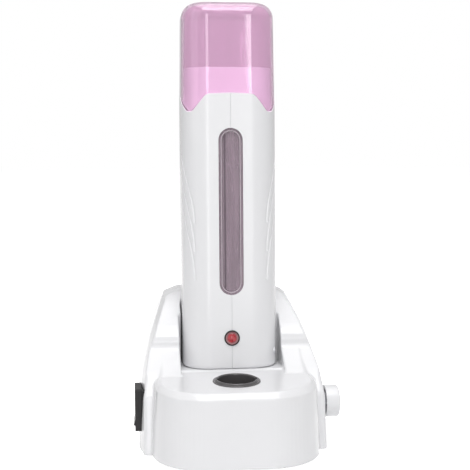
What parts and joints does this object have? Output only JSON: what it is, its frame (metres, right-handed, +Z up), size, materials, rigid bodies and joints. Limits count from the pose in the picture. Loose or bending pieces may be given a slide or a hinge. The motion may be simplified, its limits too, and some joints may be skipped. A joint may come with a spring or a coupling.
{
  "type": "roll on wax heater",
  "caption": "Hand-held roll-on wax heater with a clear lift-off cap, leaning in a mains dock with a rocker switch, a side knob and a round well in front.",
  "frame": {"origin": "centre of the footprint's bounding box, on the table", "axes": "+Z up, the front with the round well faces -Y, the knob is on +X"},
  "size_m": [0.1294, 0.1229, 0.2742],
  "materials": {
    "white_shell": "glossy moulded white ABS",
    "white_cover": "fine-textured white moulding",
    "clear_pink": "clear tinted moulding, polished",
    "smoked_clear": "smoke-tinted clear lens",
    "red_lens": "clear red lens",
    "bulb_glass": "small glass bulb",
    "black_plastic": "satin black moulding",
    "black_gloss": "smooth black moulding",
    "bare_aluminium": "drawn aluminium",
    "plated_steel": "zinc-plated steel",
    "contact_brass": "bright brass",
    "grey_rubber": "dark grey rubber",
    "grey_silicone": "grey silicone",
    "ceramic": "cream ceramic block",
    "fuse_body": "lacquered metal can",
    "green_board": "green glass-fibre board",
    "blue_case": "blue component case",
    "grey_case": "dark grey component case",
    "dark_can": "sleeved aluminium can",
    "terminal_green": "green terminal block",
    "foil_sheet": "foil-faced insulation"
  },
  "bodies": {
    "dock": {"dock_housing": "white_shell", "base_cover": "white_cover", "base_feet": "grey_rubber", "base_screws": "plated_steel", "well_liner": "black_plastic", "switch_body": "black_plastic", "switch_terminals": "contact_brass", "knob_nut": "plated_steel", "regulator_body": "grey_case", "regulator_terminals": "contact_brass", "dock_plug": "black_plastic", "contact_pins": "contact_brass", "mains_inlet": "black_plastic", "inlet_pins": "plated_steel", "control_board": "green_board", "board_screws": "plated_steel", "board_relay": "blue_case", "board_capacitor": "dark_can", "board_fuse": "fuse_body", "board_terminals": "terminal_green"},
    "handset": {"shell_left": "white_shell", "shell_right": "white_shell", "shell_screws": "plated_steel", "view_window": "smoked_clear", "chamber_sleeve": "bare_aluminium", "chamber_floor": "black_plastic", "chamber_gasket": "grey_silicone", "heater_plate": "ceramic", "heater_clip": "plated_steel", "thermal_fuse": "fuse_body", "thermostat_disc": "black_plastic", "lamp_ring": "black_gloss", "lamp_lens": "red_lens", "lamp_bulb": "bulb_glass", "lamp_board": "green_board", "dock_socket": "black_plastic", "socket_contacts": "contact_brass", "insulation_pad": "foil_sheet"},
    "cap": {"cap": "clear_pink"},
    "rocker": {"switch_rocker": "black_gloss"},
    "knob": {"knob": "white_shell", "knob_shaft": "plated_steel"}
  },
  "joints": [
    {"name": "handset_lift", "type": "slide", "parent": "dock", "child": "handset", "axis": [0, 0.0663, 0.9978], "range_m": [0, 0.09]},
    {"name": "cap_lift", "type": "slide", "parent": "handset", "child": "cap", "axis": [0, 0.0663, 0.9978], "range_m": [0, 0.06]},
    {"name": "switch_rock", "type": "hinge", "parent": "dock", "child": "rocker", "pos_m": [-0.06039, -0.0105, 0.025], "axis": [0, -1, 0], "range_deg": [0, 16]},
    {"name": "knob_turn", "type": "hinge", "parent": "dock", "child": "knob", "pos_m": [0.05484, -0.0065, 0.0237], "axis": [1, 0, 0], "range_deg": [0, 270]}
  ]
}
